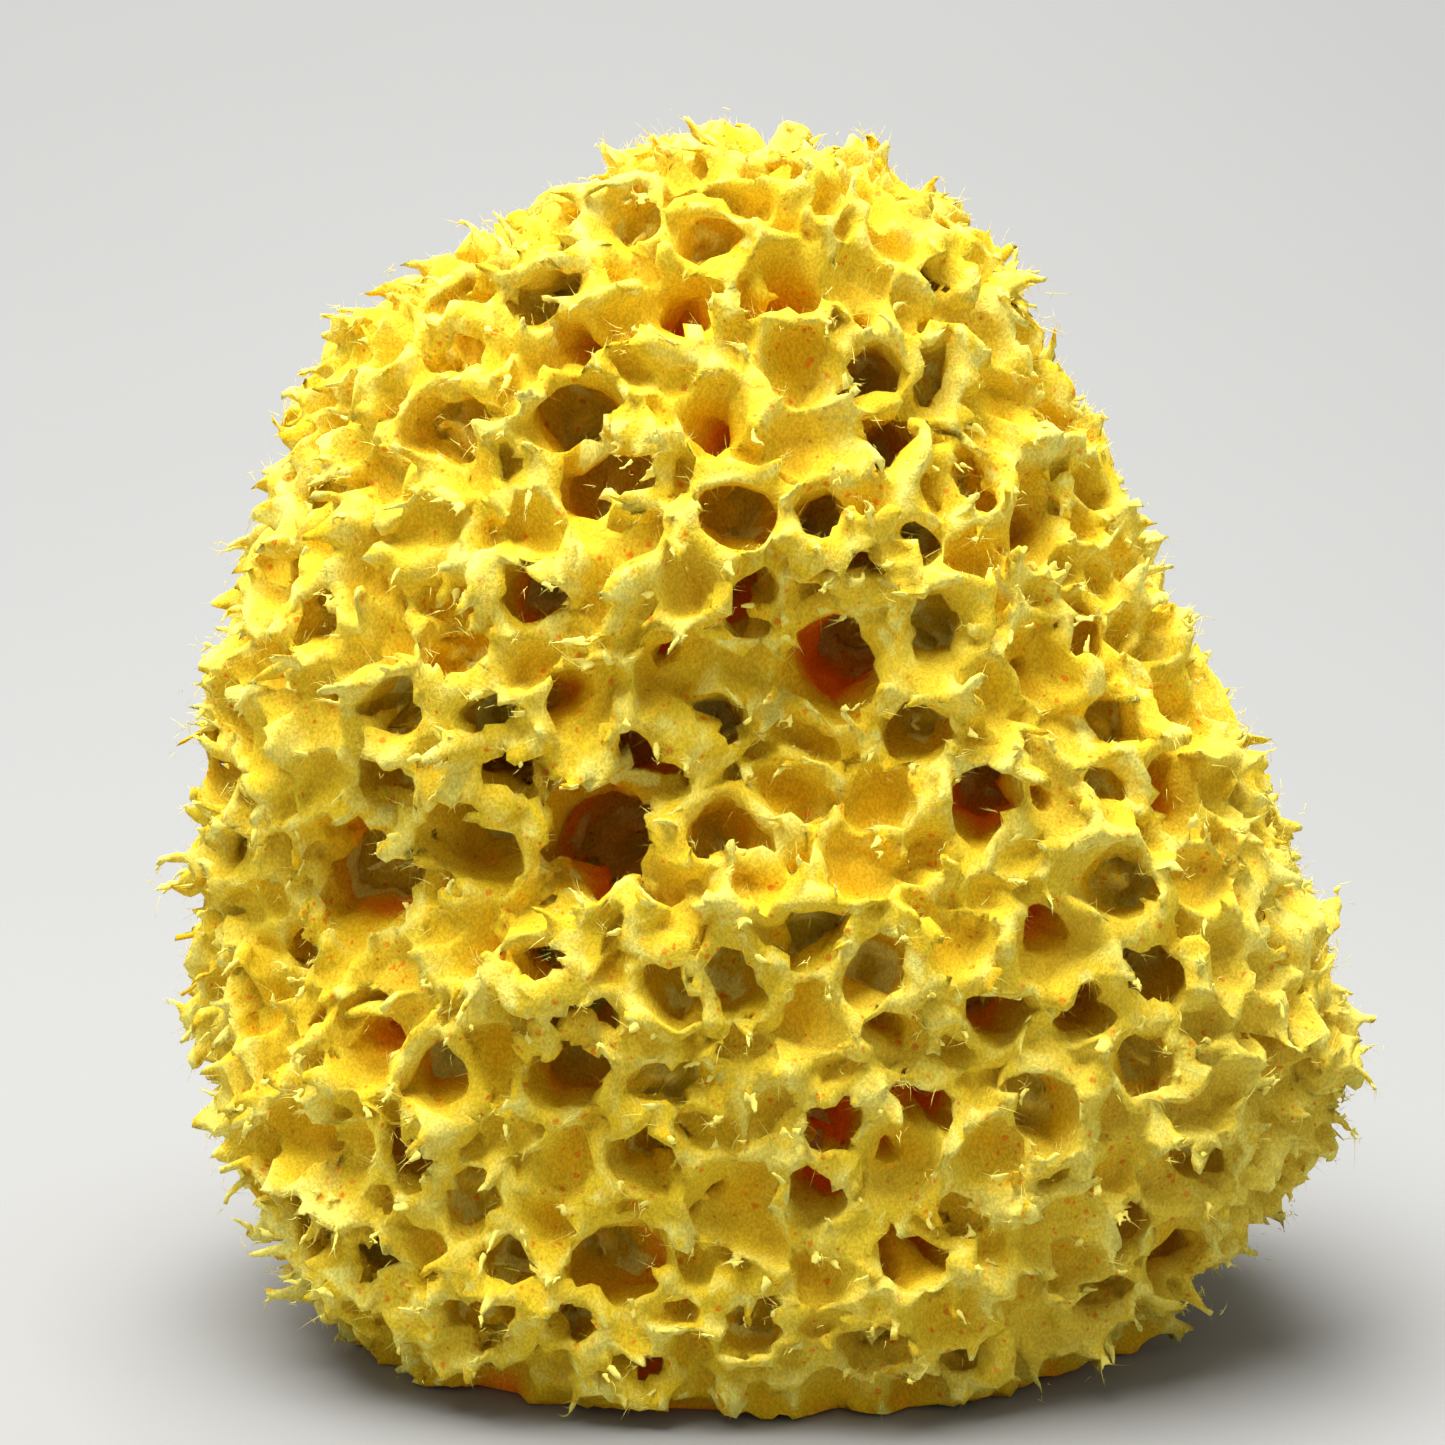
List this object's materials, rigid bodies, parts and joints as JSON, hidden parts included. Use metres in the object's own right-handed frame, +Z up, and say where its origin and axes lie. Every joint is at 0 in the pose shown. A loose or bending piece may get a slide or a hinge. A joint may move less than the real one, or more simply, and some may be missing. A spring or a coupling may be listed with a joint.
{
  "type": "sea sponge",
  "caption": "Natural honeycomb bath sponge, grown as one porous piece with round openings all over, standing on a flat trimmed foot.",
  "frame": {"origin": "on the flat trimmed foot, under the middle of the solid's bounding box", "axes": "+Z up from the foot to the crown, -Y towards the front with the crease and the widest openings, +X to the right of that front"},
  "size_m": [0.147, 0.114, 0.157],
  "materials": {
    "sponge": "soft matte yellow fibre, paler at the torn tips and rust brown deep in the openings"
  },
  "bodies": {
    "root": {"sponge": "sponge"}
  },
  "joints": []
}
